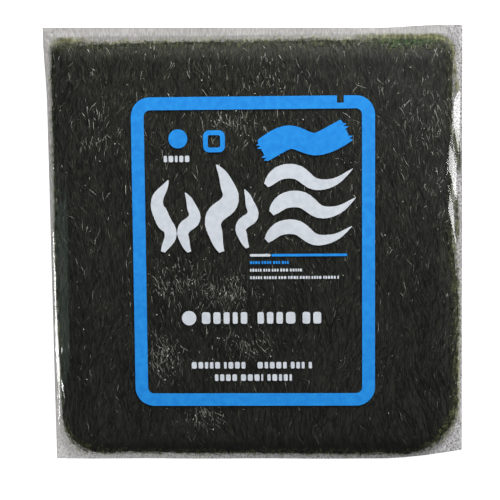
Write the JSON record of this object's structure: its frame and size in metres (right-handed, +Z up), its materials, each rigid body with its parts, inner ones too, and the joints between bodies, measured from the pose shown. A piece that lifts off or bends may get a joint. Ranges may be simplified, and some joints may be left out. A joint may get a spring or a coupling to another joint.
{
  "type": "sealed pack of seasoned seaweed sheets",
  "caption": "Flat pouch of clear film around a square stack of dark seasoned seaweed sheets, with a blue printed frame and white seaweed and wave motifs on its front.",
  "frame": {"origin": "under the middle of the pouch, on the surface it lies on", "axes": "+Z up out of the printed side, +Y along the long side towards the top of the print, +X to its right"},
  "size_m": [0.212, 0.2216, 0.0062],
  "materials": {
    "filled_pouch": "glossy clear film over near-black green seaweed",
    "blue_ink": "flat printed ink under gloss",
    "white_ink": "flat printed ink under gloss",
    "clear_film": "glossy clear polypropylene film, finely crinkled at the sealed margins",
    "seaweed": "felted fine strands with a light film of oil"
  },
  "bodies": {
    "root": {"film_pack": "filled_pouch", "print_frame": "blue_ink", "print_disc": "blue_ink", "print_square": "blue_ink", "print_band": "blue_ink", "print_rule_blue": "blue_ink", "print_fine_1": "blue_ink", "print_bar_top": "white_ink", "print_frond_1": "white_ink", "print_frond_2": "white_ink", "print_frond_3": "white_ink", "print_frond_4": "white_ink", "print_wave_1": "white_ink", "print_wave_2": "white_ink", "print_wave_3": "white_ink", "print_rule_white": "white_ink", "print_fine_2": "white_ink", "print_fine_3": "white_ink", "print_bold_disc": "white_ink", "print_bold_1": "white_ink", "print_bold_2": "white_ink", "print_foot_1a": "white_ink", "print_foot_1b": "white_ink", "print_foot_2a": "white_ink", "print_foot_2b": "white_ink"}
  },
  "joints": []
}
